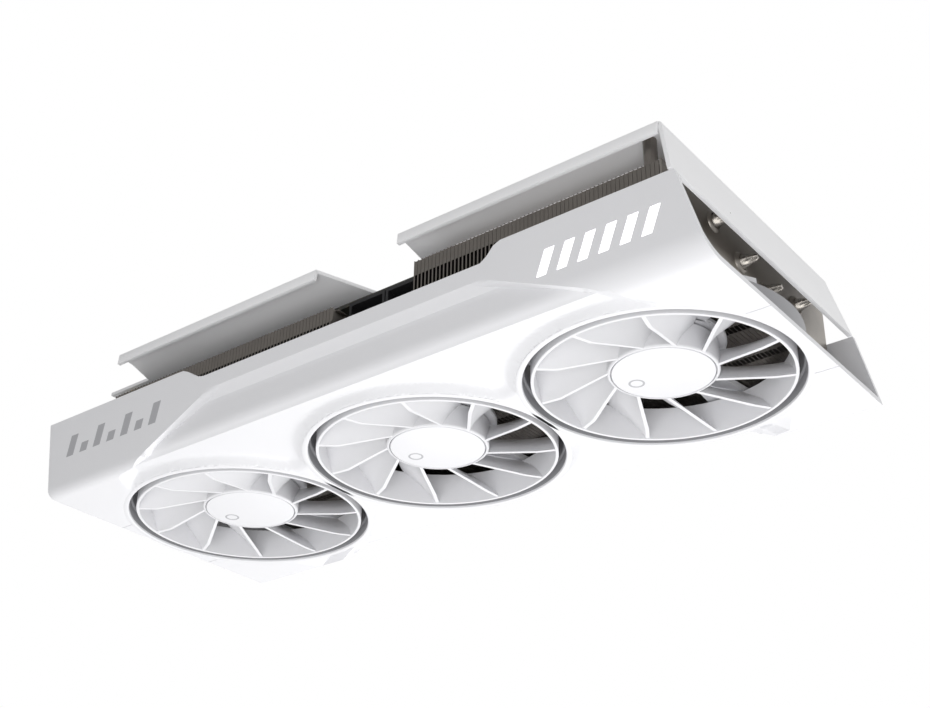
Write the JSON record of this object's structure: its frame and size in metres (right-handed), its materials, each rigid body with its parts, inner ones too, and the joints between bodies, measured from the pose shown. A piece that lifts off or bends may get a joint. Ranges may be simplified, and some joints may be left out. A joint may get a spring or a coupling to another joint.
{
  "type": "graphics card",
  "caption": "Long white graphics card: three-fan moulded shroud, dark fin stacks with heat pipes, folded winged backplate with an airflow window, slot edge and slotted bracket.",
  "frame": {"origin": "middle of the end face of the long gold-finger edge, half way through the board's thickness", "axes": "+X towards the tail of the card, +Y out of the slot edge towards the motherboard, +Z towards the backplate, so the fans face -Z"},
  "size_m": [0.337, 0.166, 0.0601],
  "materials": {
    "white_shell": "satin",
    "white_fan": "satin",
    "light_bar": "glowing white",
    "fins": "dark nickel",
    "heat_pipe": "nickel-plated copper",
    "board": "solder mask",
    "brass": "satin",
    "black_plastic": "matt",
    "plain_metal": "satin",
    "plated_steel": "satin"
  },
  "bodies": {
    "card": {"shroud": "white_shell", "light_diffuser": "light_bar", "fan_bearing_bracket_end": "brass", "fan_motor_bracket_end": "black_plastic", "fan_frame_bracket_end": "white_shell", "fan_bearing_middle": "brass", "fan_motor_middle": "black_plastic", "fan_frame_middle": "white_shell", "fan_bearing_tail": "brass", "fan_motor_tail": "black_plastic", "fan_frame_tail": "white_shell", "fin_stack_main": "fins", "fin_stack_tail": "fins", "heat_pipe_1": "heat_pipe", "heat_pipe_2": "heat_pipe", "heat_pipe_3": "heat_pipe", "heat_pipe_4": "heat_pipe", "cold_plate": "heat_pipe", "memory_plate": "plain_metal", "circuit_board": "board", "gpu_package": "black_plastic", "memory_chip_1": "black_plastic", "memory_chip_2": "black_plastic", "memory_chip_3": "black_plastic", "memory_chip_4": "black_plastic", "memory_chip_5": "black_plastic", "memory_chip_6": "black_plastic", "memory_chip_7": "black_plastic", "memory_chip_8": "black_plastic", "choke_bank_inner": "black_plastic", "choke_bank_outer": "black_plastic", "power_socket_1": "black_plastic", "power_socket_2": "black_plastic", "display_port_1": "plated_steel", "display_port_2": "plated_steel", "display_port_3": "plated_steel", "display_port_4": "plated_steel", "io_bracket": "plated_steel", "bracket_screw_1": "plated_steel", "bracket_screw_2": "plated_steel", "spring_screw_1": "plated_steel", "spring_screw_2": "plated_steel", "spring_screw_3": "plated_steel", "spring_screw_4": "plated_steel", "board_standoff_1": "plated_steel", "board_standoff_2": "plated_steel", "board_standoff_3": "plated_steel", "board_standoff_4": "plated_steel", "tail_post_long_edge": "plated_steel", "tail_post_slot_side": "plated_steel", "backplate": "white_shell"},
    "fan_bracket_end": {"fan_rotor_bracket_end": "white_fan", "hub_cap_bracket_end": "white_fan", "fan_shaft_bracket_end": "plated_steel"},
    "fan_middle": {"fan_rotor_middle": "white_fan", "hub_cap_middle": "white_fan", "fan_shaft_middle": "plated_steel"},
    "fan_tail": {"fan_rotor_tail": "white_fan", "hub_cap_tail": "white_fan", "fan_shaft_tail": "plated_steel"}
  },
  "joints": [
    {"name": "fan_spin_bracket_end", "type": "hinge", "parent": "card", "child": "fan_bracket_end", "pos_m": [-0.03928, -0.082, -0.0472], "axis": [0, 0, -1], "continuous": true},
    {"name": "fan_spin_middle", "type": "hinge", "parent": "card", "child": "fan_middle", "pos_m": [0.06702, -0.082, -0.0472], "axis": [0, 0, -1], "continuous": true},
    {"name": "fan_spin_tail", "type": "hinge", "parent": "card", "child": "fan_tail", "pos_m": [0.17332, -0.082, -0.0472], "axis": [0, 0, -1], "continuous": true}
  ]
}
